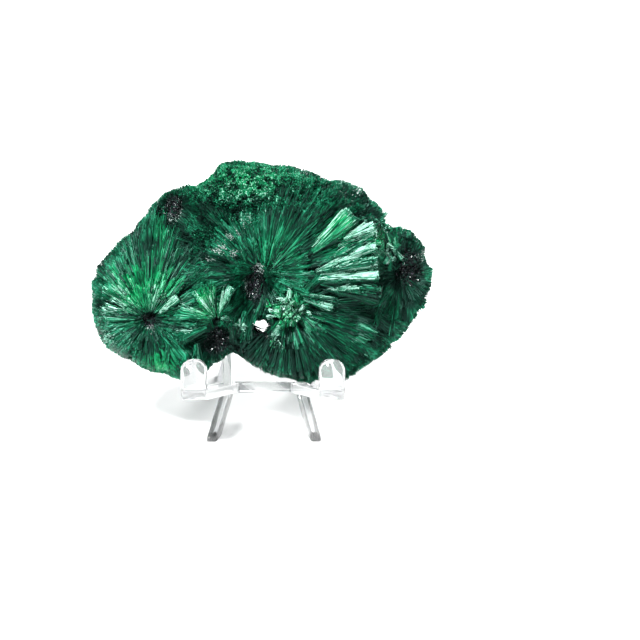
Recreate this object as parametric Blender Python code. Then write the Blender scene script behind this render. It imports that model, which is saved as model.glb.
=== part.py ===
"""A plate of fibrous malachite, grown as radiating sprays, leaning on a small clear display easel.

Metres, +Z up, the show face towards -Y. The origin is on the table, under the middle of the whole.
"""

import math

import bmesh
import bpy
import numpy as np
from mathutils import Matrix, Vector
from mathutils.geometry import delaunay_2d_cdt

MM = 0.001

# The stone's outline in its own plane, in mm: u to the right, v up, as seen from the front
OUTLINE = [
    (-6.6, 24.3), (-2.4, 23.7), (3.3, 22.8), (6.7, 22.8), (9.8, 21.7), (13.3, 20.2), (16.7, 19.6),
    (21.1, 18.3), (23.9, 15.4), (27.2, 12.0), (26.1, 9.9), (30.2, 9.6), (32.8, 8.3), (34.8, 5.9),
    (35.2, 2.8), (37.2, -0.4), (36.7, -3.3), (35.2, -7.6), (31.7, -12.4), (27.4, -17.2),
    (23.0, -20.2), (19.6, -22.6), (17.4, -24.6), (14.8, -24.4), (12.2, -24.1), (9.6, -24.8),
    (6.1, -24.1), (3.3, -23.3), (0.0, -22.2), (-3.3, -20.2), (-6.5, -18.0), (-9.3, -19.6),
    (-12.6, -22.4), (-15.6, -23.8), (-18.0, -24.1), (-21.1, -22.9), (-24.6, -22.0), (-29.6, -19.8),
    (-34.1, -17.0), (-36.1, -13.5), (-37.4, -9.8), (-37.4, -3.3), (-36.1, 0.9), (-34.6, 2.8),
    (-29.6, 8.3), (-26.5, 11.7), (-23.7, 15.0), (-20.0, 17.6), (-16.7, 18.7), (-13.7, 18.9),
    (-11.3, 21.1), (-8.7, 23.9),
]
RIM_STEP = 1.7
RIM_ROUGHNESS = 0.28
RIM_INSET = 0.45

# Sprays on the show face: the centre that the fibres radiate from, how far its claim reaches
# against its neighbours', and how deep its blades are pleated
SPRAYS = {
    "left": {"centre": (-24.4, -10.0), "reach": 20.0, "pleat": 0.46},
    "middle": {"centre": (-10.0, -10.4), "reach": 8.5, "pleat": 0.45},
    "hollow": {"centre": (-10.4, -13.4), "reach": 8.5, "pleat": 0.40},
    "main": {"centre": (0.4, -0.8), "reach": 24.0, "pleat": 0.55},
    "lower": {"centre": (5.6, -7.6), "reach": 16.0, "pleat": 0.36},
    "pocket": {"centre": (-19.0, 13.4), "reach": 4.6, "pleat": 0.35},
    "shoulder": {"centre": (29.4, -0.6), "reach": 8.0, "pleat": 0.40},
}
BACK_SPRAYS = {
    "back_left": {"centre": (-19.0, -4.0), "reach": 18.0, "pleat": 0.40},
    "back_top": {"centre": (2.0, 9.0), "reach": 16.0, "pleat": 0.40},
    "back_right": {"centre": (19.0, -6.0), "reach": 19.0, "pleat": 0.40},
}
FIRST_RING = 0.8
LAST_RING = 62.0
FIRST_RAYS = 8
FORK_SPACING = 1.3
RING_STEP = 1.1
RING_GROWTH = 0.012
RAY_WANDER = 0.20
BACK_COARSER = 2.1
PLEAT_FADE = 2.5

# Thick bundles and slabs of blades that stand out of the show face, blunt at their outer end:
# start u, v, end u, v, half width at the end, height at the start and at the end
BUNDLES = [
    (12.3, 5.1, 19.0, 12.7, 2.1, 0.3, 1.6),
    (17.7, 6.8, 24.8, 10.6, 1.5, 0.5, 2.2),
    (16.8, 3.8, 26.6, 6.2, 1.5, 0.5, 2.4),
    (13.8, 0.5, 28.4, 3.2, 1.3, 0.5, 2.6),
    (12.9, -2.1, 27.2, -0.1, 1.2, 0.5, 2.6),
    (14.2, -4.3, 20.7, -3.7, 0.8, 0.3, 1.8),
    (8.8, -6.2, 15.1, -7.9, 0.9, 0.3, 1.6),
    (-21.6, -8.5, -17.9, -5.3, 0.9, 0.3, 1.5),
    (-11.6, -8.6, -14.2, -2.9, 1.6, 0.3, 1.8),
    (-8.8, -8.8, -6.5, -2.9, 1.2, 0.5, 2.6),
    (-12.9, -12.7, -18.5, -14.6, 1.5, 0.4, 2.0),
    (-6.6, -15.6, -6.5, -11.5, 1.0, 0.8, 1.6),
    (-15.1, -16.6, -17.4, -21.4, 1.5, 0.5, 1.6),
]
BUNDLE_TAPER = 0.55
BUNDLE_SHOULDER = 0.7
BUNDLE_RIDGE = 0.5
BUNDLE_END_SLOPE = 0.32

# Clusters of blocky crystals: middle u, v, spread, how many, half size, height
CLUSTERS = [
    (5.2, -8.6, 3.0, 9, 0.72, 1.3),
    (2.4, -14.4, 1.2, 3, 0.55, 0.9),
    (-19.6, 13.2, 1.9, 5, 0.50, 0.8),
    (31.8, 1.0, 2.8, 6, 0.60, 0.9),
]
CRYSTAL_TOP = 0.72
CRYSTAL_TILT = 0.35
GOLDEN_TURN = 2.4

# Lumps (height above 0) and pits (below 0) of each face: u, v, spread along u and v, height
FRONT_RELIEF = [
    (-24.4, -9.0, 11.0, 10.5, 3.0),
    (-24.2, -10.2, 1.5, 1.5, -2.4),
    (-13.4, -6.0, 1.9, 3.4, 2.2),
    (-7.2, -6.0, 1.5, 3.4, 3.0),
    (-10.0, -10.4, 1.2, 1.2, -1.8),
    (-9.4, -15.2, 3.8, 2.8, -4.4),
    (-15.4, -19.0, 3.4, 3.6, 1.8),
    (-2.3, -3.4, 1.8, 4.2, -5.6),
    (-0.4, -11.8, 2.2, 1.8, -3.4),
    (-3.0, 17.0, 15.0, 5.0, 2.6),
    (-17.6, 6.0, 4.0, 8.0, -1.0),
    (-18.6, 12.8, 3.0, 3.0, -3.0),
    (4.6, -9.4, 2.0, 1.8, 1.8),
    (3.2, -15.2, 1.5, 1.5, 1.4),
    (10.0, -15.6, 8.0, 6.0, 2.2),
    (21.5, -9.5, 7.0, 3.6, -2.8),
    (31.4, 0.4, 2.8, 4.8, -4.2),
    (-33.0, 6.0, 7.0, 9.0, -2.4),
]
BACK_RELIEF = [
    (-19.0, -4.0, 10.0, 10.0, 2.4),
    (2.0, 9.0, 9.0, 8.0, 1.6),
    (19.0, -6.0, 10.0, 9.0, 2.0),
    (-5.0, -7.0, 4.0, 5.0, -2.4),
    (8.0, 0.5, 3.5, 3.0, -1.6),
]
FRONT_DEPTH = 7.0
BACK_DEPTH = 6.2
FRONT_ROUNDING = 4.2
BACK_ROUNDING = 9.0
LEAST_DEPTH = 1.6

# The sheaf on the right: its angles about the main centre, how it rises and where it breaks off,
# and how far the lobe beyond it stands back
FAN = {"low_deg": -13.0, "high_deg": 46.0, "start": 5.0, "end": 25.2, "rise": 0.26, "drop": 3.6}
LOBE_FROM, LOBE_TO = 24.6, 26.8

# The thin place where daylight shows through
WINDOW = {"at": (-0.5, -11.8), "half_width": 1.45, "half_height": 1.05, "turn_deg": -8.0}
WINDOW_SIDES = 12
THROUGH = 40.0

# The easel, in mm: how far the stone leans back, the gap left wherever pieces meet, how far the
# lips stand from the middle, and how much further apart the side frames get per mm of depth
LEAN_DEG = 17.0
GAP = 0.35
HOOK_AT = 14.3
FRONT_SPLAY = 0.30
REAR_SPLAY = 0.10
PRONG = {"width": 5.2, "thickness": 2.2, "lip": 6.6, "fillet": 0.5}
BAR = {"height": 3.0, "thickness": 2.2, "upright": 36.0, "brace_at": 0.30}
FEET = {"drop": 7.0, "front_reach": 13.0, "rear_reach": 24.0}
CROSS_BAR = 2.4
SOFT_EDGE = 0.35
SOFT_ANGLE = math.radians(50)
END_STEPS = 5
CORNER_STEPS = 6

GREEN = (0.010, 0.150, 0.075)
CLEAR = (0.92, 0.94, 0.95)


def lattice(i, j, seed):
    """A repeatable value from 0 to 1 at each whole-number point."""
    mixed = np.sin(i * 127.1 + j * 311.7 + seed * 74.7) * 43758.5453
    return mixed - np.floor(mixed)


def noise(x, y, seed):
    """Smooth value noise from -1 to 1."""
    i, j = np.floor(x), np.floor(y)
    fx, fy = x - i, y - j
    fx, fy = fx * fx * (3 - 2 * fx), fy * fy * (3 - 2 * fy)
    low = lattice(i, j, seed) * (1 - fx) + lattice(i + 1, j, seed) * fx
    high = lattice(i, j + 1, seed) * (1 - fx) + lattice(i + 1, j + 1, seed) * fx
    return 2 * (low * (1 - fy) + high * fy) - 1


def smooth_step(low, high, value):
    share = np.clip((value - low) / (high - low), 0, 1)
    return share * share * (3 - 2 * share)


def inward(rim):
    """Unit directions from the rim into the stone; the rim runs clockwise."""
    along = np.roll(rim, -1, axis=0) - np.roll(rim, 1, axis=0)
    across = np.stack([along[:, 1], -along[:, 0]], axis=1)
    return across / np.linalg.norm(across, axis=1)[:, None]


def rim_points():
    """The outline walked at an even step, a little rough."""
    corners = np.array(OUTLINE)
    spans = np.linalg.norm(np.roll(corners, -1, axis=0) - corners, axis=1)
    places = np.concatenate([[0], np.cumsum(spans)])
    count = int(round(places[-1] / RIM_STEP))
    walk = np.arange(count) * places[-1] / count
    loop = np.vstack([corners, corners[:1]])
    rim = np.stack([np.interp(walk, places, loop[:, k]) for k in (0, 1)], axis=1)
    return rim - inward(rim) * (noise(walk * 0.9, walk * 0, 3) * RIM_ROUGHNESS)[:, None]


def rim_distance(points, rim):
    """How far inside the rim each point is; negative outside."""
    start, end = rim, np.roll(rim, -1, axis=0)
    side = end - start
    offset = points[:, None, :] - start[None]
    share = np.clip((offset * side).sum(2) / (side**2).sum(1), 0, 1)
    nearest = np.linalg.norm(offset - share[..., None] * side, axis=2).min(axis=1)
    u, v = points[:, 0:1], points[:, 1:2]
    crosses = (start[:, 1] > v) != (end[:, 1] > v)
    meets = start[:, 0] + (v - start[:, 1]) * side[:, 0] / np.where(side[:, 1] == 0, 1, side[:, 1])
    inside = (crosses & (u < meets)).sum(axis=1) % 2 == 1
    return np.where(inside, nearest, -nearest)


def owners(points, sprays):
    """Which spray each point belongs to: the one that it is nearest to for its reach."""
    claims = [np.linalg.norm(points - s["centre"], axis=1) / s["reach"] for s in sprays.values()]
    return np.argmin(claims, axis=0)


def relief(points, bumps):
    """The lumps and pits at each point, added up."""
    total = np.zeros(len(points))
    for u, v, spread_u, spread_v, height in bumps:
        off_u = (points[:, 0] - u) / spread_u
        off_v = (points[:, 1] - v) / spread_v
        total += height * np.exp(-(off_u**2) - off_v**2)
    return total


def fan_height(points):
    """The sheaf on the right, which rises away from the main centre, breaks off in a ledge and
    overhangs a recess on its lower side."""
    offset = points - SPRAYS["main"]["centre"]
    radius = np.linalg.norm(offset, axis=1)
    angle = np.degrees(np.arctan2(offset[:, 1], offset[:, 0]))
    jagged = 1.6 * noise(angle * 0.16, angle * 0, 11)
    inside = smooth_step(FAN["low_deg"] - 3, FAN["low_deg"] + 3, angle)
    inside *= 1 - smooth_step(FAN["high_deg"] - 16, FAN["high_deg"] + 16, angle)
    inside *= 1 - smooth_step(FAN["end"] - 0.7, FAN["end"] + 0.7, radius + jagged)
    rise = FAN["rise"] * np.clip(radius - FAN["start"], 0, None)
    beyond = smooth_step(LOBE_FROM, LOBE_TO, points[:, 0]) * FAN["drop"]
    return inside * rise - beyond * (1 - inside)


def face_height(points, depth, bumps, is_front, distance):
    """Height of a face above the stone's middle plane, without its pleats."""
    height = depth + relief(points, bumps)
    seed = 21 if is_front else 31
    height += 0.55 * noise(points[:, 0] * 0.28, points[:, 1] * 0.28, seed)
    if is_front:
        height += fan_height(points)
        velvet = smooth_step(9.0, 13.0, points[:, 1]) * smooth_step(-22.0, -14.0, points[:, 0])
        height += 0.45 * velvet * noise(points[:, 0] * 0.75, points[:, 1] * 0.75, 23)
    rounding = FRONT_ROUNDING if is_front else BACK_ROUNDING
    rounded = np.sqrt(1 - (1 - np.clip(distance / rounding, 0, 1)) ** 2)
    return np.maximum(height, LEAST_DEPTH) * rounded


def bundle_points(start, end, half_width, low, high):
    """A bundle's points in five rows, foot, shoulder, ridge, shoulder and foot, how high each
    stands, the lines along it and across its ends, and its footprint."""
    start, end = np.array(start), np.array(end)
    length = np.linalg.norm(end - start)
    along = (end - start) / length
    across = np.array([-along[1], along[0]])
    count = max(3, int(round(length / (RING_STEP * 1.3))) + 1)
    points, lifts, edges = [], [], []
    for k in range(count):
        share = k / (count - 1)
        width = half_width * (BUNDLE_TAPER + (1 - BUNDLE_TAPER) * share)
        height = low + (high - low) * share
        rows = [(-1, 0), (-BUNDLE_SHOULDER, height), (0, height + BUNDLE_RIDGE)]
        rows += [(BUNDLE_SHOULDER, height), (1, 0)]
        inset = BUNDLE_END_SLOPE if k == count - 1 else 0
        for row, (side, lift) in enumerate(rows):
            back = inset if 0 < row < 4 else 0
            points.append(start + along * (length * share - back) + across * width * side)
            lifts.append(lift)
            if k:
                edges.append((5 * (k - 1) + row, 5 * k + row))
    foot = len(points)
    points.append(end + along * 0.12)
    lifts.append(0)
    edges += [(5 * (count - 1), foot), (foot, 5 * (count - 1) + 4)]
    edges += [(5 * (count - 1) + row, 5 * (count - 1) + row + 1) for row in (1, 2)]
    edges += [(row, row + 1) for row in range(4)]
    return points, lifts, edges, (start, end, half_width + 0.3)


def crystal_points(centre, half, turn, height, tip):
    """A blocky crystal: a square foot and a smaller, tilted top."""
    points, lifts, edges = [], [], []
    for ring, (size, lift) in enumerate(((half, 0.0), (half * CRYSTAL_TOP, height))):
        for k in range(4):
            angle = turn + math.tau * k / 4
            corner = np.array([math.cos(angle), math.sin(angle)]) * size * math.sqrt(2)
            points.append(centre + corner)
            lifts.append(lift * (1 + CRYSTAL_TILT * math.cos(angle - tip)))
            edges.append((4 * ring + k, 4 * ring + (k + 1) % 4))
    return points, lifts, edges, (centre, centre, half * 1.35)


def standing_shapes():
    """Every bundle and every crystal of the show face."""
    shapes = [bundle_points((a, b), (c, d), w, low, high) for a, b, c, d, w, low, high in BUNDLES]
    for u, v, spread, count, half, height in CLUSTERS:
        for k in range(count):
            turn = GOLDEN_TURN * k
            reach = spread * math.sqrt((k + 0.4) / count)
            centre = np.array([u + reach * math.cos(turn), v + reach * math.sin(turn)])
            size = half * (0.8 + 0.35 * lattice(k, count, 5))
            shapes.append(crystal_points(centre, size, turn * 1.7, height * (0.6 + size), turn))
    return shapes


def clear_of(points, footprints):
    """Which points are outside every footprint, each a line from start to end with a width."""
    free = np.ones(len(points), bool)
    for start, end, width in footprints:
        side = end - start
        share = np.clip(((points - start) @ side) / max(side @ side, 1e-9), 0, 1)
        free &= np.linalg.norm(points - start - share[:, None] * side, axis=1) > width
    return free


def spray_points(index, sprays, rim, coarser, footprints):
    """Points ring by ring along a spray's rays, the edges along each ray, and the pleats.

    The rays double in number where they would stand too far apart. Old rays stand up as ridges
    and the new ones between them lie as valleys."""
    spray = list(sprays.values())[index]
    points, lifts, edges, last = [], [], [], {}
    radius, rays = FIRST_RING, FIRST_RAYS
    while radius < LAST_RING:
        if math.tau * radius / rays > FORK_SPACING * coarser:
            rays *= 2
            last = {2 * ray: place for ray, place in last.items()}
        ray = np.arange(rays)
        wander = RAY_WANDER * noise(ray * 1.0, ray * 0 + radius * 0.12, 41 + index)
        angle = math.tau * (ray + wander) / rays
        step = RING_STEP * coarser
        reach = radius + step * RAY_WANDER * noise(ray * 3.3, ray * 0 + radius, 51 + index)
        ring = np.stack([np.cos(angle), np.sin(angle)], axis=1) * reach[:, None] + spray["centre"]
        kept = (owners(ring, sprays) == index) & (rim_distance(ring, rim) > coarser)
        kept &= clear_of(ring, footprints)
        sign = np.where(ray % 2 == 0, 1.0, -1.0)
        uneven = 0.65 + 0.35 * noise(ray * 1.7, ray * 0 + radius * 0.35, 61 + index)
        now = {}
        for k in ray[kept]:
            now[k] = len(points)
            points.append(ring[k])
            lifts.append(spray["pleat"] * sign[k] * uneven[k])
            if k in last:
                edges.append((last[k], now[k]))
        last = now
        radius += step * (1 + radius * RING_GROWTH)
    return points, lifts, edges


def face_mesh(sprays, bumps, depth, is_front, rim, coarser):
    """One face of the stone as (points in u, v, w, triangles); its first points are the rim."""
    points = [*rim, *(rim + RIM_INSET * inward(rim))]
    lifts = [0.0] * len(points)
    count = len(rim)
    edges = [(k, (k + 1) % count) for k in range(count)]
    shapes = standing_shapes() if is_front else []
    footprints = [shape[3] for shape in shapes]
    shapes += [spray_points(k, sprays, rim, coarser, footprints) for k in range(len(sprays))]
    for shape in shapes:
        edges += [(a + len(points), b + len(points)) for a, b in shape[2]]
        points += shape[0]
        lifts += shape[1]
    flat = [Vector(p) for p in points]
    made, _, triangles, origin, _, _ = delaunay_2d_cdt(flat, edges, [], 1, 1e-4)
    place = np.array([tuple(p) for p in made])
    lift = np.array([lifts[first[0]] if first else 0.0 for first in origin])
    distance = np.clip(rim_distance(place, rim), 0, None)
    height = face_height(place, depth, bumps, is_front, distance)
    height += lift * np.clip(distance / PLEAT_FADE, 0, 1)
    on_rim = np.array([bool(first) and first[0] < count for first in origin])
    height[on_rim] = 0.0
    order = {first[0]: k for k, first in enumerate(origin) if first and first[0] < count}
    sign = 1 if is_front else -1
    return np.column_stack([place, sign * height]), triangles, [order[k] for k in range(count)]


def stone_mesh():
    """The whole stone, in its own plane and in mm: two faces that meet in one rim."""
    rim = rim_points()
    front, front_faces, front_rim = face_mesh(SPRAYS, FRONT_RELIEF, FRONT_DEPTH, True, rim, 1.0)
    back, back_faces, back_rim = face_mesh(
        BACK_SPRAYS, BACK_RELIEF, BACK_DEPTH, False, rim, BACK_COARSER
    )
    mesh = bmesh.new()
    front_points = [mesh.verts.new(p) for p in front]
    back_points = {b: front_points[f] for f, b in zip(front_rim, back_rim)}
    for k, p in enumerate(back):
        if k not in back_points:
            back_points[k] = mesh.verts.new(p)
    for face in front_faces:
        mesh.faces.new([front_points[k] for k in face])
    for face in back_faces:
        mesh.faces.new([back_points[k] for k in reversed(face)])
    bmesh.ops.recalc_face_normals(mesh, faces=mesh.faces)
    return mesh


def material(name, colour, roughness, transmission=0.0):
    """A plain Principled material."""
    made = bpy.data.materials.new(name)
    made.use_nodes = True
    shader = made.node_tree.nodes["Principled BSDF"]
    shader.inputs["Base Color"].default_value = (*colour, 1)
    shader.inputs["Roughness"].default_value = roughness
    shader.inputs["Metallic"].default_value = 0.0
    shader.inputs["Transmission Weight"].default_value = transmission
    return made


def add_object(name, mesh, finish):
    """A named object made from the mesh."""
    data = bpy.data.meshes.new(name)
    mesh.to_mesh(data)
    mesh.free()
    made = bpy.data.objects.new(name, data)
    bpy.context.scene.collection.objects.link(made)
    if finish is not None:
        data.materials.append(finish)
    return made


def cutter_for_window():
    """An oval plug through the thin place where daylight shows through the stone."""
    mesh = bmesh.new()
    bmesh.ops.create_cone(
        mesh, cap_ends=True, segments=WINDOW_SIDES, radius1=1.0, radius2=1.0, depth=THROUGH
    )
    turn = Matrix.Rotation(math.radians(WINDOW["turn_deg"]), 4, "Z")
    oval = Matrix.Diagonal((WINDOW["half_width"], WINDOW["half_height"], 1, 1))
    mesh.transform(Matrix.Translation((*WINDOW["at"], 0)) @ turn @ oval)
    return mesh


def place_stone():
    """Turns the stone's own axes (u, v, w) to the world's: u is X, v leans back, w faces -Y."""
    lean = math.radians(LEAN_DEG)
    return Matrix((
        (1, 0, 0, 0),
        (0, math.sin(lean), -math.cos(lean), 0),
        (0, math.cos(lean), math.sin(lean), 0),
        (0, 0, 0, 1),
    ))


def frame_x(w, side, fit):
    """Middle of a side frame at depth w: narrowest at the upright, wider to the front and back."""
    ahead = w - fit["waist"]
    narrow = HOOK_AT - FRONT_SPLAY * (fit["inner"] - fit["waist"])
    return side * (narrow + (FRONT_SPLAY if ahead > 0 else -REAR_SPLAY) * ahead)


def strip(profile, width):
    """A closed profile of (w, v) points made into a bar across X, its long edges softened."""
    mesh = bmesh.new()
    face = mesh.faces.new([mesh.verts.new((-width / 2, v, w)) for w, v in profile])
    moved = bmesh.ops.extrude_face_region(mesh, geom=[face])["geom"]
    bmesh.ops.translate(
        mesh, verts=[v for v in moved if isinstance(v, bmesh.types.BMVert)], vec=(width, 0, 0)
    )
    bmesh.ops.recalc_face_normals(mesh, faces=mesh.faces)
    return mesh


def soften(mesh):
    """Rounds the edges that run round both sides of a strip."""
    rims = [e for e in mesh.edges if e.calc_face_angle() > SOFT_ANGLE and not runs_across(e)]
    bmesh.ops.bevel(mesh, geom=rims, offset=SOFT_EDGE, segments=2, profile=0.5, affect="EDGES")
    return mesh


def runs_across(edge):
    a, b = (v.co for v in edge.verts)
    return abs(a.x - b.x) > 0.9 * (a - b).length


def capsule(a, b, height, width):
    """A bar with round ends in the side plane, from a to b, each (w, v)."""
    a, b = Vector(a), Vector(b)
    turn = math.atan2(b.y - a.y, b.x - a.x)
    outline = []
    for centre, first in ((b, turn - math.pi / 2), (a, turn + math.pi / 2)):
        for k in range(END_STEPS + 1):
            angle = first + math.pi * k / END_STEPS
            outline.append(centre + height / 2 * Vector((math.cos(angle), math.sin(angle))))
    return soften(strip(outline, width))


def prong(seat, back_w, inner_w):
    """The arm under the stone and the upturned lip in front of it, one bent strip."""
    outer_w = inner_w + PRONG["thickness"]
    low = seat - PRONG["thickness"]
    top = seat + PRONG["lip"]
    bend = PRONG["thickness"] * 0.95
    profile = [(back_w, low), (back_w, seat), (inner_w - PRONG["fillet"], seat)]
    profile += [(inner_w, seat + PRONG["fillet"]), (inner_w, top), (outer_w, top)]
    for k in range(END_STEPS + 1):
        angle = math.pi / 2 * k / END_STEPS
        profile.append((outer_w - bend + bend * math.cos(angle), low + bend - bend * math.sin(angle)))
    mesh = strip(profile, PRONG["width"])
    corners = [
        e for e in mesh.edges
        if all(v.co.y > top - 0.01 for v in e.verts) and abs(e.verts[0].co.z - e.verts[1].co.z) > 1
    ]
    rounding = 0.47 * PRONG["width"]
    bmesh.ops.bevel(
        mesh, geom=corners, offset=rounding, segments=CORNER_STEPS, profile=0.5, affect="EDGES"
    )
    return soften(mesh)


def join_all(name, meshes, finish):
    """The shapes joined by Boolean unions into one solid."""
    objects = [add_object(f"{name}_{k}" if k else name, m, finish) for k, m in enumerate(meshes)]
    whole = objects[0]
    for other in objects[1:]:
        union = whole.modifiers.new("union", "BOOLEAN")
        union.operation = "UNION"
        union.object = other
        other.hide_render = True
        other.display_type = "WIRE"
    apply_modifiers(whole)
    for other in objects[1:]:
        bpy.data.objects.remove(other)
    return whole


def apply_modifiers(item):
    """Bakes the object's modifiers into its mesh."""
    graph = bpy.context.evaluated_depsgraph_get()
    made = bpy.data.meshes.new_from_object(item.evaluated_get(graph))
    item.modifiers.clear()
    item.data = made


def side_frame(name, side, fit, finish):
    """One side of the easel: upright, front foot, rear foot, arm and lip, splayed to the front."""
    seat, inner_w, ground = fit["seat"], fit["inner"], fit["ground"]
    junction = (fit["waist"], seat - PRONG["thickness"] / 2)
    top = (junction[0], junction[1] + BAR["upright"])
    front_foot = ground(junction, FEET["front_reach"])
    rear_foot = ground(junction, -FEET["rear_reach"])
    brace = (junction[0], junction[1] + BAR["upright"] * BAR["brace_at"])
    meshes = [
        capsule(junction, top, BAR["height"], BAR["thickness"]),
        capsule(junction, front_foot, BAR["height"] * 0.9, BAR["thickness"] * 0.96),
        capsule(brace, rear_foot, BAR["height"] * 0.95, BAR["thickness"] * 0.98),
        prong(seat, junction[0] + GAP, inner_w),
    ]
    made = join_all(name, meshes, finish)
    for vertex in made.data.vertices:
        vertex.co.x += frame_x(vertex.co.z, side, fit)
    return made


def cut_flat(item, height):
    """Cuts the object off level at a height, so that its feet stand flat."""
    mesh = bmesh.new()
    mesh.from_mesh(item.data)
    whole = [*mesh.verts, *mesh.edges, *mesh.faces]
    cut = bmesh.ops.bisect_plane(
        mesh, geom=whole, plane_co=(0, 0, height), plane_no=(0, 0, 1), clear_inner=True
    )["geom_cut"]
    bmesh.ops.edgeloop_fill(mesh, edges=[e for e in cut if isinstance(e, bmesh.types.BMEdge)])
    bmesh.ops.recalc_face_normals(mesh, faces=mesh.faces)
    mesh.to_mesh(item.data)
    mesh.free()


def cross_bar(name, middle_v, fit, finish):
    """A bar between the two side frames, its ends following their splay."""
    mesh = bmesh.new()
    bmesh.ops.create_cube(mesh, size=1)
    for vertex in mesh.verts:
        w = fit["waist"] + CROSS_BAR * (vertex.co.z - 0.5)
        side = math.copysign(1, vertex.co.x)
        inner_face = frame_x(w, side, fit) - side * (BAR["thickness"] / 2 + GAP)
        vertex.co = (inner_face, middle_v + CROSS_BAR * vertex.co.y, w)
    long_edges = [e for e in mesh.edges if runs_across(e)]
    bmesh.ops.bevel(
        mesh, geom=long_edges, offset=SOFT_EDGE * 1.6, segments=3, profile=0.5, affect="EDGES"
    )
    return add_object(name, mesh, finish)


def stand_fit(stone, tilt):
    """Where the easel's seat, back and lips have to be to hold the stone without touching it."""
    places = np.array([v.co for v in stone.data.vertices])
    under = np.abs(np.abs(places[:, 0]) - HOOK_AT) < PRONG["width"] / 2 + 1.2
    seat = places[under, 1].min() - GAP
    near_seat = under & (places[:, 1] < seat + PRONG["lip"] + 1.0)
    inner = places[near_seat, 2].max() + GAP
    behind = np.abs(np.abs(places[:, 0]) - HOOK_AT + 4.0) < 5.5
    behind &= places[:, 1] < seat + BAR["upright"] + 2.0
    back = places[behind, 2].min() - GAP

    def ground(start, reach):
        """The point on the table at that reach in front of start, as (w, v)."""
        origin = tilt @ Vector((0, start[1], start[0]))
        foot = Vector((0, origin.y - reach, origin.z - FEET["drop"]))
        flat = tilt.inverted() @ foot
        return flat.z, flat.y

    waist = back - BAR["height"] / 2
    return {"seat": seat, "back": back, "inner": inner, "waist": waist, "ground": ground}


def finish_in_world(items, frames, tilt, table):
    """Tilts everything, cuts the feet level with the table, puts the middle of the whole at the
    origin and turns mm to metres."""
    for item in items:
        item.data.transform(tilt)
    for frame in frames:
        cut_flat(frame, table)
    corners = np.array([v.co for item in items for v in item.data.vertices])
    middle = (corners.min(axis=0) + corners.max(axis=0)) / 2
    to_origin = Matrix.Translation((-middle[0], -middle[1], -table))
    for item in items:
        item.data.transform(Matrix.Scale(MM, 4) @ to_origin)


def main():
    for item in list(bpy.data.objects):
        bpy.data.objects.remove(item)
    green = material("malachite", GREEN, 0.45)
    clear = material("clear_plastic", CLEAR, 0.08, transmission=1.0)
    stone = add_object("malachite", stone_mesh(), green)
    window = add_object("window_cutter", cutter_for_window(), None)
    window.hide_render = True
    window.display_type = "WIRE"
    hole = stone.modifiers.new("window", "BOOLEAN")
    hole.operation = "DIFFERENCE"
    hole.object = window
    apply_modifiers(stone)
    bpy.data.objects.remove(window)

    tilt = place_stone()
    fit = stand_fit(stone, tilt)
    frames = [
        side_frame("stand_left_side", -1, fit, clear),
        side_frame("stand_right_side", 1, fit, clear),
    ]
    junction_v = fit["seat"] - PRONG["thickness"] / 2
    top_bar_v = junction_v + BAR["upright"] - CROSS_BAR * 1.2
    bars = [
        cross_bar("stand_seat_bar", junction_v, fit, clear),
        cross_bar("stand_top_bar", top_bar_v, fit, clear),
    ]
    table = (tilt @ Vector((0, junction_v, fit["waist"]))).z - FEET["drop"]
    finish_in_world([stone, *frames, *bars], frames, tilt, table)


main()
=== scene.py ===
import math

import bmesh
import bpy
import numpy as np
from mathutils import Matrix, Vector
from mathutils.bvhtree import BVHTree


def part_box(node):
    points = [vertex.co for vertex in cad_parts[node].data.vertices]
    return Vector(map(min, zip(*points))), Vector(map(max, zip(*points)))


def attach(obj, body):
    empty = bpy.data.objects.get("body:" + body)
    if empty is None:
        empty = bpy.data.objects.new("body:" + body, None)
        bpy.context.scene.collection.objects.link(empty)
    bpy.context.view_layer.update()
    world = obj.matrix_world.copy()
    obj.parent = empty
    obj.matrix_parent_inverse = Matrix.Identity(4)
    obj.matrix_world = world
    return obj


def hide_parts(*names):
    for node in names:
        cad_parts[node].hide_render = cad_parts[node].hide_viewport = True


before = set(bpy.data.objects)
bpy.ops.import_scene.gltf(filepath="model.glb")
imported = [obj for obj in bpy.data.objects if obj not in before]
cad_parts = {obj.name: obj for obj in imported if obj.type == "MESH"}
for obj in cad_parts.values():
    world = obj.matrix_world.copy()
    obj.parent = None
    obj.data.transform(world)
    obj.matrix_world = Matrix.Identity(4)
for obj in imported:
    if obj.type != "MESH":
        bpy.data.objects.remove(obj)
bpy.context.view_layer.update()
mm = 0.001
solid = BVHTree.FromObject(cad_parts["malachite"], bpy.context.evaluated_depsgraph_get())
stoneMiddle = sum(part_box("malachite"), Vector()) / 2

# The stone leans back: u runs to the right, v up its face and w out of the show face, in mm
plane = {"leanDeg": 17.0, "middle": (0.35, -3.52, 34.93)}
lean = math.radians(plane["leanDeg"])
planeAxes = np.array([
    (1, 0, 0),
    (0, math.sin(lean), math.cos(lean)),
    (0, -math.cos(lean), math.sin(lean)),
])

# Sprays that the fibres radiate from: u, v, w of the centre, how far it claims, and its side
sprays = {
    "left": ((-24.4, -10.0, 4.6), 20.0, "front"),
    "middle": ((-10.0, -10.4, 4.0), 8.5, "front"),
    "hollow": ((-10.4, -13.4, 1.6), 8.5, "front"),
    "main": ((0.4, -0.8, 2.4), 24.0, "front"),
    "lower": ((5.6, -7.6, 3.6), 16.0, "front"),
    "pocket": ((-19.0, 13.4, 2.2), 4.6, "front"),
    "shoulder": ((29.4, -0.6, 0.0), 8.0, "front"),
    "backLeft": ((-19.0, -4.0, -3.0), 18.0, "back"),
    "backTop": ((2.0, 9.0, -2.6), 16.0, "back"),
    "backRight": ((19.0, -6.0, -3.0), 19.0, "back"),
}

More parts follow.
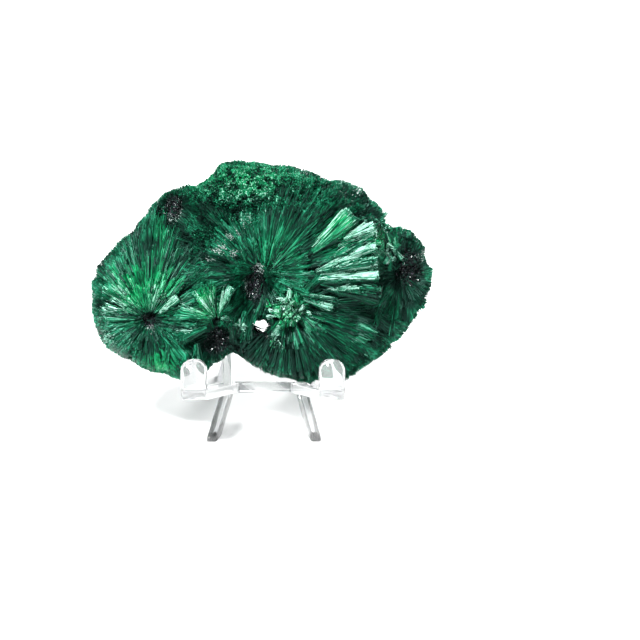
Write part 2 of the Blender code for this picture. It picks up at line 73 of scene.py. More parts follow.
# Places on the face with a look of their own, partly painted light and shade: u, v, spread along u and v,
# strength
places = {
    # Painted highlight: the fibres' silky sheen, painted in near white
    "paintedSheen": [
        (-31.0, -8.0, 5.0, 2.4, 1.0), (-29.8, -4.6, 3.0, 1.6, 0.8), (-32.0, -13.6, 3.0, 2.4, 0.9),
        (-23.2, -6.6, 1.8, 2.6, 0.8), (-19.8, -6.7, 2.4, 1.5, 1.0), (-10.6, -7.4, 1.2, 2.2, 0.9),
        (-16.4, -12.4, 3.0, 0.8, 0.9), (16.4, 10.0, 3.4, 4.4, 0.6), (22.0, 8.2, 4.6, 2.6, 0.9),
        (22.0, 4.4, 5.2, 1.8, 0.8), (27.4, 5.4, 1.6, 1.6, 0.7), (12.5, -7.2, 3.0, 1.3, 0.8),
        (5.6, -7.6, 3.0, 2.6, 0.8), (2.4, -14.2, 1.6, 1.6, 0.8), (-6.0, -11.4, 1.2, 1.2, 0.5),
        (9.4, 22.0, 2.4, 1.4, 0.7), (16.8, 19.0, 2.2, 1.4, 0.6), (-4.6, 6.4, 1.6, 4.0, 0.35),
        (-4.0, 14.4, 10.0, 7.0, 0.4), (7.0, 17.6, 4.0, 1.6, 0.4), (-36.0, -4.0, 2.0, 6.0, 0.35),
    ],
    # Partly painted light: malachite's vivid emerald, which also stands in for the glow of fibres where the
    # light falls
    "emeraldAndLitGlow": [
        (-27.0, -5.0, 4.0, 3.6, 1.0), (-22.0, -3.6, 3.4, 4.4, 0.8), (-22.4, -19.0, 3.4, 2.6, 0.9),
        (-11.4, -7.0, 2.4, 3.0, 1.0), (5.4, -8.4, 3.4, 3.0, 1.0), (13.6, 8.0, 3.0, 3.4, 0.9),
        (2.4, 3.0, 4.0, 2.6, 0.3), (-4.0, 19.5, 11.0, 4.0, 0.5), (16.0, -12.0, 3.0, 2.0, 0.2),
        (-21.8, 5.4, 1.6, 4.0, 0.5), (25.6, 6.6, 3.4, 2.0, 0.7), (20.0, -7.4, 2.6, 1.4, 0.4),
    ],
    # Painted shade: places made darker where shade falls on the face
    "paintedShade": [
        (-26.0, 6.0, 5.0, 7.0, 0.8), (-14.0, 12.5, 5.0, 4.5, 0.7), (17.0, 15.0, 4.0, 3.6, 0.6),
        (20.5, -8.5, 7.5, 4.6, 1.0), (10.0, -18.0, 11.0, 5.6, 1.0), (-8.0, 0.5, 4.0, 2.6, 0.6),
        (-24.0, -14.0, 4.4, 3.4, 0.5), (7.0, 9.0, 5.0, 6.0, 0.8), (-4.0, -16.5, 5.0, 3.0, 1.0),
        (-15.0, 2.0, 4.0, 5.0, 0.5), (16.0, -14.0, 8.0, 6.0, 0.8), (24.5, -12.5, 4.5, 4.0, 1.0),
        (24.0, -4.4, 3.4, 1.3, 0.9), (-20.0, 4.0, 7.0, 5.0, 0.75), (-5.4, -6.4, 2.0, 4.0, 0.5),
        (31.0, -6.0, 5.0, 4.0, 0.6), (-35.0, 2.0, 2.6, 3.6, 0.4),
    ],
    # Hollows; their colour is darkened as painted shade
    "hollow": [
        (-24.2, -10.4, 1.5, 1.3, 1.0), (-9.4, -15.2, 3.0, 2.4, 1.0), (-1.9, -3.2, 1.6, 4.2, 1.0),
        (-0.4, -12.6, 2.4, 2.2, 0.9), (-19.4, 14.0, 2.0, 3.0, 1.0), (31.4, 0.8, 2.9, 4.9, 1.0),
        (1.6, -17.0, 1.0, 3.2, 0.6), (-4.6, -17.6, 4.4, 1.2, 0.6), (-10.0, -10.3, 0.9, 0.8, 0.8),
    ],
    "velvet": [
        (-3.0, 18.4, 14.0, 5.6, 1.3), (8.0, 15.0, 7.0, 3.6, 0.8), (-13.0, 7.0, 6.0, 6.0, 0.55),
        (-4.0, 11.0, 5.0, 3.0, 0.7), (32.0, 5.5, 3.0, 2.0, 0.6), (-33.0, 0.0, 3.0, 4.0, 0.5),
    ],
    # The crystal cluster; the gaps under it are darkened as painted shade
    "cluster": [
        (5.2, -8.6, 3.2, 2.8, 1.0), (2.4, -14.4, 1.1, 1.2, 1.0), (-5.4, -11.4, 1.3, 1.0, 0.8),
        (0.8, -6.6, 1.6, 1.2, 0.6),
    ],
    # Small pale crystals, whose near-white colour is a painted glint
    "glitter": [
        (-3.8, 10.4, 1.4, 1.7, 1.0), (-5.4, 8.5, 1.6, 1.3, 1.0), (-7.2, 7.2, 2.0, 1.3, 1.0),
        (-8.4, 5.4, 1.6, 1.4, 1.0), (-9.8, 4.2, 1.7, 1.2, 1.0), (-11.0, 2.5, 1.5, 1.1, 1.0),
        (-6.4, 4.0, 1.1, 1.0, 0.9), (-1.6, 0.4, 1.1, 1.6, 1.0), (-2.6, -3.6, 1.4, 2.0, 0.8),
        (-19.4, 13.0, 1.4, 2.6, 1.0), (-23.8, -11.8, 1.2, 1.2, 0.9), (34.6, 3.6, 1.2, 1.6, 0.8),
        (-9.6, -14.0, 1.0, 1.0, 0.6), (10.2, 21.6, 1.6, 0.9, 0.8), (20.7, 17.6, 1.4, 0.9, 0.8),
    ],
}


def smoothStep(low, high, value):
    share = np.clip((value - low) / (high - low), 0, 1)
    return share * share * (3 - 2 * share)


def toPlane(points):
    return (points / mm - np.array(plane["middle"])) @ planeAxes.T


def toWorld(points):
    return (points @ planeAxes + np.array(plane["middle"])) * mm


def placeMask(kind, spots):
    mask = np.zeros(len(spots))
    for u, v, spreadU, spreadV, strength in places[kind]:
        across, up = (spots[:, 0] - u) / spreadU, (spots[:, 1] - v) / spreadV
        mask = np.maximum(mask, strength * np.exp(-across**2 - up**2))
    return np.clip(mask, 0, 1) * smoothStep(-1.5, 1.0, spots[:, 2])


def lattice(cell, seed):
    mixed = np.sin(cell @ np.array([127.1, 311.7, 74.7]) + seed * 53.3) * 43758.5453
    return mixed - np.floor(mixed)


# Soft noise from -1 to 1 with one lump per unit
def softNoise(points, seed):
    cell = np.floor(points)
    part = points - cell
    part = part * part * (3 - 2 * part)
    total = np.zeros(len(points))
    for corner in range(8):
        step = np.array([corner & 1, (corner >> 1) & 1, corner >> 2])
        total += np.prod(np.where(step, part, 1 - part), axis=1) * lattice(cell + step, seed)
    return 2 * total - 1


# Ridges that run out from a centre and fork as they go, about ridgeWidth mm apart everywhere
def forkedRidges(ways, radius, ridgeWidth, seed):
    level = np.log2(np.maximum(radius, 0.6) / ridgeWidth)
    near = np.floor(level)
    total = np.zeros(len(ways))
    for step in (0, 1):
        weight = np.where(step, level - near, 1 - level + near)
        turned = ways * (2.0 ** (near + step))[:, None] + radius[:, None] * 0.09
        total += weight * softNoise(turned, seed)
    return total


# Which spray owns each spot, from the same rule that shaped the solid
def sprayOwners(spots, front):
    claims = []
    for centre, reach, side in sprays.values():
        claim = np.hypot(spots[:, 0] - centre[0], spots[:, 1] - centre[1]) / reach
        claims.append(np.where(front == (side == "front"), claim, np.inf))
    return np.argmin(np.array(claims), axis=0)


# Bundles of parallel fibres that stand out of the face and break off blunt, in plane mm:
# start u, v, end u, v, half width at the start and end, tone against the rest, painted sheen
logs = [
    (11.0, 4.6, 19.6, 12.4, 0.6, 2.0, 0.12, 0.4), (11.0, 5.9, 18.6, 14.0, 0.3, 0.5, 0.18, 1.0),
    (12.6, -1.4, 26.8, 0.1, 0.5, 1.25, 0.17, 1.2), (13.4, -2.5, 25.0, -1.7, 0.4, 0.7, -0.06, 0.2),
    (12.0, 0.3, 24.0, 5.0, 0.5, 1.5, 0.17, 1.1), (11.6, -0.3, 26.6, 3.2, 0.4, 1.1, 0.02, 0.7),
    (13.0, -0.5, 27.2, 1.7, 0.3, 0.6, 0.12, 1.0), (12.4, 1.7, 22.2, 7.2, 0.3, 0.8, 0.02, 0.6),
    (17.4, 7.2, 25.0, 10.9, 0.5, 1.1, 0.18, 1.2), (16.2, 5.4, 24.8, 8.3, 0.4, 1.0, 0.06, 0.8),
    (24.6, 5.6, 27.4, 6.2, 0.9, 1.2, 0.04, 0.6), (25.4, 3.0, 28.2, 3.4, 0.8, 1.0, 0.08, 0.7),
    (14.0, -3.8, 21.2, -3.1, 0.4, 1.1, 0.17, 1.15), (8.8, -6.0, 15.6, -8.3, 0.5, 0.9, 0.08, 0.8),
    (8.6, -5.0, 16.0, -6.2, 0.4, 0.6, 0.04, 0.7), (-22.0, -8.8, -17.8, -5.2, 0.4, 0.9, 0.18, 1.0),
    (-10.4, -9.4, -12.7, -3.0, 0.4, 2.7, 0.02, 0.1), (-9.5, -9.5, -7.0, -2.7, 0.3, 1.3, 0.16, 1.0),
    (-10.9, -9.2, -14.6, -4.6, 0.3, 0.6, 0.16, 0.9), (-12.4, -12.2, -18.6, -14.7, 0.7, 1.6, 0.02, 0.3),
    (-11.2, -10.0, -18.6, -9.2, 0.4, 1.2, 0.08, 0.4), (-11.4, -9.6, -17.6, -7.4, 0.3, 0.8, 0.14, 0.7),
    (-6.8, -15.4, -6.4, -11.5, 0.8, 1.1, 0.04, 0.2), (-17.0, -13.4, -18.0, -21.8, 0.9, 1.7, 0.04, 0.4),
    (-14.2, -15.8, -13.8, -20.8, 0.6, 1.4, 0.00, 0.2), (-19.4, -12.9, -15.0, -12.3, 0.3, 0.4, 0.10, 1.1),
    (-20.2, -15.4, -21.2, -21.2, 0.4, 1.1, 0.10, 0.2), (-3.4, 1.6, -5.0, 7.4, 0.4, 0.9, 0.06, 0.4),
    (-1.5, 2.0, -1.8, 8.2, 0.3, 0.7, 0.02, 0.2), (-4.6, 0.4, -8.4, 4.2, 0.4, 0.8, 0.04, 0.2),
    (25.2, 9.0, 29.6, 6.2, 0.8, 1.3, -0.06, 0.3),
]

# Tiers of smaller bundles that fan out from a spray's centre: angles, radii, how many, tone spread
# and painted sheen; the sheaf and the left rosette have strong ones, which stand clear of each other
strongTiers = [
    ("main", (-14, -3), (14.0, 26.5), 4, 0.08, 0.1),
    ("left", (158, 236), (2.6, 12.0), 8, 0.07, 0.7), ("left", (236, 300), (2.6, 9.5), 6, 0.08, 0.2),
    ("left", (62, 158), (2.2, 9.0), 10, 0.07, 0.5), ("left", (300, 350), (2.4, 6.5), 5, 0.08, 0.2),
]
fans = [
    ("left", (-200, 160), (1.7, 7.5), 38, 0.15, 0), ("left", (-196, 150), (5.6, 12.5), 58, 0.14, 0),
    ("left", (30, 140), (9.5, 19.5), 44, 0.12, 0), ("main", (80, 178), (3.0, 9.0), 30, 0.15, 0),
    ("main", (82, 188), (7.5, 15.0), 44, 0.13, 0), ("main", (44, 84), (3.4, 20.5), 20, 0.16, 0),
    ("main", (46, 82), (11.0, 22.0), 20, 0.14, 0), ("main", (-28, 48), (3.0, 12.0), 30, 0.15, 0),
    ("lower", (-150, 24), (2.6, 10.0), 40, 0.15, 0), ("lower", (-140, 14), (8.0, 17.0), 50, 0.13, 0),
    ("middle", (60, 215), (1.3, 4.0), 16, 0.16, 0), ("hollow", (-60, 150), (2.6, 5.0), 16, 0.12, 0),
    ("shoulder", (40, 150), (4.2, 8.5), 20, 0.13, 0),
]


def fanShapes(tiers, seed):
    chance = np.random.default_rng(seed)
    shapes = []
    for name, (low, high), (near, far), count, spread, shine in tiers:
        centre = np.array(sprays[name][0][:2])
        step = math.radians(high - low) / count
        for index in range(count):
            angle = math.radians(low) + step * (index + 0.5 + chance.uniform(-0.3, 0.3))
            start = near * chance.uniform(0.85, 1.3)
            end = near + (far - near) * chance.uniform(0.55, 1.0)
            half = 0.5 * step * end * chance.uniform(0.7, 1.15)
            way = np.array((math.cos(angle), math.sin(angle)))
            first, last = centre + way * start, centre + way * end
            tone = spread * chance.uniform(-1.0, 1.0)
            paintedSheen = shine * chance.uniform(0.5, 0.9)
            shapes.append((*first, *last, half * start / end, half, tone, paintedSheen))
    return shapes


# Places where short bundles cross each other at all angles: u, v, spread along u and v, how many
crossings = [
    (5.4, -8.2, 2.7, 2.3, 34), (2.4, -14.2, 1.0, 1.1, 6), (-5.4, -11.2, 1.1, 0.8, 6),
    (27.4, 3.8, 1.2, 2.2, 12), (10.2, 21.6, 1.2, 0.5, 4),
]
crossedHabit = {"length": (1.3, 2.6), "half": (0.3, 0.6), "tone": (-0.06, 0.38), "paintedSheen": (0, 1.5)}


def crossedShapes(seed):
    chance = np.random.default_rng(seed)
    shapes = []
    for u, v, spreadU, spreadV, count in crossings:
        for _ in range(count):
            angle = chance.uniform(0, 2 * math.pi)
            reach = math.sqrt(chance.uniform(0, 1))
            turn = chance.uniform(0, 2 * math.pi)
            length = chance.uniform(*crossedHabit["length"])
            first = np.array((u + spreadU * reach * math.cos(angle), v + spreadV * reach * math.sin(angle)))
            last = first + length * np.array((math.cos(turn), math.sin(turn)))
            half = chance.uniform(*crossedHabit["half"])
            tone = chance.uniform(*crossedHabit["tone"])
            paintedSheen = chance.uniform(*crossedHabit["paintedSheen"])
            shapes.append((*first, *last, 0.6 * half, half, tone, paintedSheen))
    return shapes


bundleSeeds = {"strong": 3, "crossed": 4, "fans": 5, "beds": 9}
strongBundles = logs + fanShapes(strongTiers, bundleSeeds["strong"])


def logMask(spots):
    mask = np.zeros(len(spots))
    for u0, v0, u1, v1, half0, half1, *_ in strongBundles:
        run = np.array((u1 - u0, v1 - v0))
        length = np.linalg.norm(run)
        run = run / length
        along = (spots[:, :2] - (u0, v0)) @ run / length
        aside = np.abs((spots[:, :2] - (u0, v0)) @ np.array((-run[1], run[0])))
        half = half0 + (half1 - half0) * np.clip(along, 0, 1)
        inside = smoothStep(-0.02, 0.08, along) * (1 - smoothStep(0.94, 1.02, along))
        mask = np.maximum(mask, inside * (1 - smoothStep(0.75, 1.05, aside / half)))
    return mask * (spots[:, 2] > -1)


def newObject(name, source):
    piece = bpy.data.objects.new(name, source)
    bpy.context.scene.collection.objects.link(piece)
    return piece


# A merged copy of a solid, because its own mesh is loose triangles and stays as it is
def mergedCopy(node, name):
    shape = bmesh.new()
    shape.from_mesh(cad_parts[node].data)
    bmesh.ops.remove_doubles(shape, verts=shape.verts, dist=0.01 * mm)
    for layer in list(shape.loops.layers.uv):
        shape.loops.layers.uv.remove(layer)
    mesh = bpy.data.meshes.new(name)
    shape.to_mesh(mesh)
    shape.free()
    mesh.materials.clear()
    return newObject(name, mesh)


def plainMesh(piece):
    graph = bpy.context.evaluated_depsgraph_get()
    shown = piece.evaluated_get(graph)
    return bpy.data.meshes.new_from_object(shown, preserve_all_data_layers=True, depsgraph=graph)


# Keeps only the largest connected part, because a remesh can leave crumbs beside it
def largestPart(mesh):
    shape = bmesh.new()
    shape.from_mesh(mesh)
    seen, parts = set(), []
    for first in shape.verts:
        if first in seen:
            continue
        seen.add(first)
        part, waiting = [], [first]
        while waiting:
            vertex = waiting.pop()
            part.append(vertex)
            for edge in vertex.link_edges:
                other = edge.other_vert(vertex)
                if other not in seen:
                    seen.add(other)
                    waiting.append(other)
        parts.append(part)
    parts.sort(key=len)
    bmesh.ops.delete(shape, geom=[vertex for part in parts[:-1] for vertex in part], context="VERTS")
    shape.to_mesh(mesh)
    shape.free()


def storeFloats(mesh, name, values):
    layer = mesh.attributes.new(name, "FLOAT", "POINT")
    layer.data.foreach_set("value", values.astype(np.float32))


def storeVectors(mesh, name, values):
    layer = mesh.attributes.new(name, "FLOAT_VECTOR", "POINT")
    layer.data.foreach_set("vector", values.astype(np.float32).ravel())


def vertexArray(mesh, field="vertices", key="co"):
    values = np.zeros(len(getattr(mesh, field)) * 3, np.float32)
    getattr(mesh, field).foreach_get(key, values)
    return values.reshape(-1, 3).astype(float)


# The skin, in mm: the solid's form drawn in a little, so that the needles' tips reach its face
skin = {
    "voxel": 0.36,
    "evenRounds": 5,
    "probe": 0.2,
    "thinShare": 0.28,
    "drawnIn": 0.42,
    "calmer": {"velvet": 0.8, "hollow": 0.7, "log": 0.8},
    "ridgeWidth": 0.8,
    "ridgeDepth": 0.45,
    "bladeWidth": 2.0,
    "bladeDepth": 0.75,
    "grainWidth": 1.05,
    "grainDepth": 0.85,
    "roughWidth": 0.8,
    "roughDepth": 0.5,
    "frontFrom": 0.2,
    "stray": 0.14,
    "strayWidth": 1.8,
    "lean": 0.10,
    "velvetTurn": 2.2,
    "longest": 7.0,
    "lowest": 0.35,
    "sheafAngles": (-30.0, 48.0),
}


# Directions evened out over their neighbours on the mesh
def evened(mesh, vectors, rounds):
    ends = np.zeros(len(mesh.edges) * 2, np.int32)
    mesh.edges.foreach_get("vertices", ends)
    first, second = ends.reshape(-1, 2).T
    for _ in range(rounds):
        total = vectors.copy()
        for axis in range(3):
            total[:, axis] += np.bincount(first, vectors[second, axis], len(vectors))
            total[:, axis] += np.bincount(second, vectors[first, axis], len(vectors))
        vectors = total / np.maximum(np.linalg.norm(total, axis=1), 1e-9)[:, None]
    return vectors


# Fibres lie along the face where they run out beside it, and end on it where they meet it square
def layAlong(ways, facing, leanOut):
    meet = np.sum(ways * facing, axis=1)
    follow = 1 - smoothStep(0.55, 0.85, meet)
    laid = ways - facing * (meet * follow)[:, None]
    laid /= np.maximum(np.linalg.norm(laid, axis=1), 0.05)[:, None]
    laid += facing * leanOut[:, None]
    return laid / np.linalg.norm(laid, axis=1)[:, None]


# How deep the skin lies under the solid's face, and how near each spot is to the top of a ridge
def skinRelief(spots, ways, radius, masks):
    velvet, hollow = masks["velvet"], masks["hollow"]
    fibrous = np.prod([1 - share * masks[kind] for kind, share in skin["calmer"].items()], axis=0)
    ridges = smoothStep(-0.6, 0.6, forkedRidges(ways, radius, skin["ridgeWidth"], 3))
    blades = smoothStep(-0.5, 0.4, forkedRidges(ways, radius, skin["bladeWidth"], 5))
    grains = smoothStep(-0.5, 0.5, softNoise(spots / skin["grainWidth"], 7))
    rough = smoothStep(-0.6, 0.6, softNoise(spots / skin["roughWidth"], 9))
    depth = skin["drawnIn"] + fibrous * (
        skin["ridgeDepth"] * (1 - ridges) + skin["bladeDepth"] * (1 - blades)
    )
    depth += velvet * skin["grainDepth"] * (1 - grains)
    depth += hollow * skin["roughDepth"] * (1 - rough)
    depth *= 1 - 0.7 * masks["glitter"] * (1 - hollow)
    crest = (0.4 * ridges + 0.6 * blades) * (1 - velvet) + grains * velvet
    return depth, crest


# Where each field of needles or crystals grows, as a share of its density
def fieldShares(spots, owner, front, masks):
    names = list(sprays)
    mainU, mainV, _ = sprays["main"][0]
    angle = np.degrees(np.arctan2(spots[:, 1] - mainV, spots[:, 0] - mainU))
    inSheaf = (angle > skin["sheafAngles"][0]) & (angle < skin["sheafAngles"][1])
    isMain = owner == names.index("main")
    isLeft = np.isin(owner, [names.index(name) for name in ("left", "middle", "hollow", "pocket")])
    isRight = np.isin(owner, [names.index(name) for name in ("lower", "shoulder")])
    velvet = smoothStep(0.35, 0.75, masks["velvet"])
    hollow = smoothStep(0.3, 0.8, masks["hollow"])
    clear = (1 - 0.95 * hollow) * (1 - 0.7 * masks["cluster"])
    clear *= (1 - 0.7 * masks["log"]) * (1 - 0.9 * smoothStep(0.4, 0.9, masks["glitter"]))
    silky = clear * (1 - velvet) * front
    return {
        "leftField": isLeft * silky,
        "mainField": (isMain & ~inSheaf) * silky,
        "rightField": ((isMain & inSheaf) | isRight) * silky,
        "backField": ~front * clear,
        "velvetField": velvet * front,
        "clusterField": smoothStep(0.25, 0.8, masks["cluster"]) * front,
        "druseField": smoothStep(0.25, 0.7, masks["hollow"]) * front,
        "glitterField": smoothStep(0.15, 0.6, masks["glitter"]) * (1 - 0.85 * hollow) * front,
    }


def makeSkin():
    body = mergedCopy("malachite", "stoneSkin")
    remesh = body.modifiers.new("even", "REMESH")
    remesh.mode = "VOXEL"
    remesh.voxel_size = skin["voxel"] * mm
    mesh = plainMesh(body)
    body.modifiers.clear()
    largestPart(mesh)
    body.data = mesh

    points = vertexArray(mesh)
    normals = evened(mesh, vertexArray(mesh, "vertex_normals", "vector"), skin["evenRounds"])
    spots = toPlane(points)
    facing = normals @ planeAxes.T
    front = (spots[:, 2] + 1.2 * facing[:, 2]) > skin["frontFrom"]
    owner = sprayOwners(spots, front)
    centres = np.array([spray[0] for spray in sprays.values()])[owner]
    out = spots - centres
    radius = np.linalg.norm(out, axis=1)
    ways = out / np.maximum(radius, 0.2)[:, None]
    masks = {kind: placeMask(kind, spots) for kind in places}
    masks["log"] = logMask(spots)

    depth, crest = skinRelief(spots, ways, radius, masks)
    for index, (start, way) in enumerate(zip(points - normals * skin["probe"] * mm, -normals)):
        hit = solid.ray_cast(Vector(start), Vector(way))
        if hit[0] is not None:
            depth[index] = min(depth[index], skin["thinShare"] * (hit[3] / mm + skin["probe"]))
    points -= normals * (depth * mm)[:, None]
    mesh.vertices.foreach_set("co", points.astype(np.float32).ravel())
    mesh.update()

    stray = np.stack([softNoise(spots / skin["strayWidth"], seed) for seed in (11, 12, 13)], axis=1)
    leanOut = skin["lean"] + skin["velvetTurn"] * masks["velvet"]**2
    worldWays = layAlong(ways + skin["stray"] * stray, facing, leanOut) @ planeAxes
    room = np.zeros(len(points))
    for index, (start, way) in enumerate(zip(points, worldWays)):
        hit = solid.ray_cast(Vector(start), Vector(way), 3 * skin["longest"] * mm)
        if hit[0] is not None and hit[1].dot(Vector(way)) > 0:
            room[index] = min(hit[3], skin["longest"] * mm)
    room *= skin["lowest"] + (1 - skin["lowest"]) * crest

    storeVectors(mesh, "sprayCentre", toWorld(centres))
    storeVectors(mesh, "fibreWay", worldWays)
    storeVectors(mesh, "faceWay", normals)
    storeFloats(mesh, "room", room)
    storeFloats(mesh, "crest", crest)
    for kind in places:
        storeFloats(mesh, kind, masks[kind])
    for name, share in fieldShares(spots, owner, front, masks).items():
        storeFloats(mesh, name, share)
    mesh.shade_smooth()
    return body


def fieldArea(mesh, name):
    share = np.zeros(len(mesh.vertices), np.float32)
    mesh.attributes[name].data.foreach_get("value", share)
    corners = np.zeros(len(mesh.polygons) * 4, np.int32)
    mesh.loops.foreach_get("vertex_index", corners)
    areas = np.zeros(len(mesh.polygons), np.float32)
    mesh.polygons.foreach_get("area", areas)
    return float(np.sum(areas * share[corners.reshape(-1, 4)].mean(axis=1)))


# Gives each input of a node a value or another node's output
def fill(node, inputs):
    for key, value in inputs.items():
        if isinstance(value, bpy.types.NodeSocket):
            node.id_data.links.new(value, node.inputs[key])
        else:
            node.inputs[key].default_value = value


def addNode(tree, kind, inputs=None, **settings):
    node = tree.nodes.new(kind)
    for key, value in settings.items():
        setattr(node, key, value)
    fill(node, inputs or {})
    return node


def newTree(name, kind, inputs, outputs):
    tree = bpy.data.node_groups.new(name, kind)
    for label, socket, default in inputs:
        made = tree.interface.new_socket(name=label, in_out="INPUT", socket_type="NodeSocket" + socket)
        if default is not None:
            made.default_value = default
    for label, socket in outputs:
        tree.interface.new_socket(name=label, in_out="OUTPUT", socket_type="NodeSocket" + socket)
    return tree, addNode(tree, "NodeGroupInput").outputs, addNode(tree, "NodeGroupOutput")


def mathNode(tree, operation, first, second):
    return addNode(tree, "ShaderNodeMath", {0: first, 1: second}, operation=operation).outputs[0]


def vectorNode(tree, operation, inputs):
    return addNode(tree, "ShaderNodeVectorMath", inputs, operation=operation)


# How far a value is above a level, times an amount
def aboveLevel(tree, value, level, times):
    return mathNode(tree, "MULTIPLY", mathNode(tree, "SUBTRACT", value, level), times)


# The sum of values, each times its own share
def weighted(tree, *parts):
    total = None
    for value, share in parts:
        part = mathNode(tree, "MULTIPLY", value, share)
        total = part if total is None else mathNode(tree, "ADD", total, part)
    return total


def surfaceValue(tree, name):
    return addNode(tree, "ShaderNodeAttribute", attribute_name=name).outputs["Fac"]


# A value moved by the kinds of place that it is in
def movedByPlace(tree, value, amounts):
    for name, amount in amounts.items():
        value = mathNode(tree, "ADD", value, mathNode(tree, "MULTIPLY", surfaceValue(tree, name), amount))
    return value


def noiseValue(tree, scale, detail):
    spot = addNode(tree, "ShaderNodeTexCoord").outputs["Object"]
    settings = {"Vector": spot, "Scale": scale, "Detail": detail}
    return addNode(tree, "ShaderNodeTexNoise", settings).outputs["Fac"]


def rampColour(tree, value, stops):
    ramp = addNode(tree, "ShaderNodeValToRGB", {"Fac": value})
    for index, (at, colour) in enumerate(stops):
        stop = ramp.color_ramp.elements[index] if index < 2 else ramp.color_ramp.elements.new(at)
        stop.position = at
        stop.color = (*colour, 1)
    return ramp.outputs["Color"]


def bumpFrom(shader, height, strength, distance):
    settings = {"Height": height, "Strength": strength, "Distance": distance}
    fill(shader, {"Normal": addNode(shader.id_data, "ShaderNodeBump", settings).outputs["Normal"]})


# Scatters tapered needles over the skin, each along the fibre direction kept on the skin
def needleTree():
    tree, given, result = newTree("needleField", "GeometryNodeTree", [
        ("Geometry", "Geometry", None), ("Where", "String", ""), ("Density", "Float", 1.0e6),
        ("Seed", "Int", 1), ("Width", "Float", 0.0002), ("Shortest", "Float", 0.0006),
        ("Stretch", "Float", 1.0), ("Least", "Float", 0.55), ("Flatness", "Float", 0.6),
        ("Blunt", "Float", 0.4), ("Sides", "Int", 3), ("Jitter", "Float", 0.08),
        ("Spin", "Float", 0.4), ("Root", "Float", 0.25), ("Material", "Material", None),
    ], [("Geometry", "Geometry")])

    def kept(name, dataType="FLOAT"):
        node = addNode(tree, "GeometryNodeInputNamedAttribute", {"Name": name}, data_type=dataType)
        return node.outputs["Attribute"]

    def chance(low, high, seedStep, vector=False):
        kind, pick = ("FLOAT_VECTOR", 0) if vector else ("FLOAT", 2)
        seed = mathNode(tree, "ADD", given["Seed"], seedStep)
        settings = {pick: low, pick + 1: high, "Seed": seed}
        node = addNode(tree, "FunctionNodeRandomValue", settings, data_type=kind)
        return node.outputs[pick // 2]

    def store(geometry, name, value):
        settings = {"Geometry": geometry, "Name": name, "Value": value}
        node = addNode(tree, "GeometryNodeStoreNamedAttribute", settings, data_type="FLOAT", domain="POINT")
        return node.outputs["Geometry"]

    density = mathNode(tree, "MULTIPLY", kept(given["Where"]), given["Density"])
    scatter = addNode(tree, "GeometryNodeDistributePointsOnFaces", {
        "Mesh": given["Geometry"], "Density": density, "Seed": given["Seed"],
    })
    points = store(scatter.outputs["Points"], "shade", chance(0.0, 1.0, 3))

    stray = chance((-1, -1, -1), (1, 1, 1), 5, True)
    strayed = vectorNode(tree, "SCALE", {0: stray, "Scale": given["Jitter"]}).outputs[0]
    way = vectorNode(tree, "ADD", {0: kept("fibreWay", "FLOAT_VECTOR"), 1: strayed}).outputs[0]
    unit = vectorNode(tree, "NORMALIZE", {0: way}).outputs[0]
    share = addNode(tree, "ShaderNodeMapRange", {"Value": chance(0.0, 1.0, 7), "To Min": given["Least"]})
    reach = mathNode(tree, "MULTIPLY", kept("room"), given["Stretch"])
    reach = mathNode(tree, "MULTIPLY", reach, share.outputs["Result"])
    reach = mathNode(tree, "MAXIMUM", reach, given["Shortest"])
    whole = mathNode(tree, "MULTIPLY", reach, mathNode(tree, "ADD", given["Root"], 1.0))
    sink = mathNode(tree, "MULTIPLY", mathNode(tree, "MULTIPLY", reach, given["Root"]), -1.0)
    offset = vectorNode(tree, "SCALE", {0: unit, "Scale": sink}).outputs[0]
    planted = addNode(tree, "GeometryNodeSetPosition", {"Geometry": points, "Offset": offset})

    aim = addNode(tree, "FunctionNodeAlignRotationToVector", {"Vector": unit}, axis="Z")
    roof = addNode(tree, "FunctionNodeAlignRotationToVector", {
        "Rotation": aim.outputs["Rotation"], "Vector": kept("faceWay", "FLOAT_VECTOR"),
    }, axis="X", pivot_axis="Z")
    angle = mathNode(tree, "MULTIPLY", chance(-1.0, 1.0, 9), given["Spin"])
    spin = addNode(tree, "FunctionNodeAxisAngleToRotation", {"Axis": (0, 0, 1), "Angle": angle})
    turned = addNode(tree, "FunctionNodeRotateRotation", {
        "Rotation": roof.outputs["Rotation"], "Rotate By": spin.outputs["Rotation"],
    }, rotation_space="LOCAL")
    width = mathNode(tree, "MULTIPLY", given["Width"], chance(0.55, 1.5, 11))
    flat = mathNode(tree, "MULTIPLY", width, given["Flatness"])
    size = addNode(tree, "ShaderNodeCombineXYZ", {0: flat, 1: width, 2: whole})

    needle = addNode(tree, "GeometryNodeMeshCone", {
        "Vertices": given["Sides"], "Side Segments": 1, "Fill Segments": 1,
        "Radius Bottom": 1.0, "Radius Top": given["Blunt"], "Depth": 1.0,
    })
    place = addNode(tree, "GeometryNodeInputPosition").outputs[0]
    height = addNode(tree, "ShaderNodeSeparateXYZ", {0: place}).outputs["Z"]
    facets = addNode(tree, "GeometryNodeSetShadeSmooth", {
        "Geometry": store(needle.outputs["Mesh"], "along", height), "Shade Smooth": False,
    })
    copies = addNode(tree, "GeometryNodeInstanceOnPoints", {
        "Points": planted.outputs["Geometry"], "Instance": facets.outputs["Geometry"],
        "Rotation": turned.outputs["Rotation"], "Scale": size.outputs[0],
    })
    real = addNode(tree, "GeometryNodeRealizeInstances", {"Geometry": copies.outputs["Instances"]})
    dressed = addNode(tree, "GeometryNodeSetMaterial", {
        "Geometry": real.outputs["Geometry"], "Material": given["Material"],
    })
    fill(result, {"Geometry": dressed.outputs["Geometry"]})
    return tree


def runTree(host, tree, settings):
    modifier = host.modifiers.new("field", "NODES")
    modifier.node_group = tree
    sockets = {item.name: item.identifier for item in tree.interface.items_tree
               if item.item_type == "SOCKET" and item.in_out == "INPUT"}
    for label, value in settings.items():
        modifier[sockets[label]] = value
    mesh = plainMesh(host)
    host.modifiers.remove(modifier)
    return mesh


def dress(piece, node):
    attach(piece, "root")
    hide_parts(node)


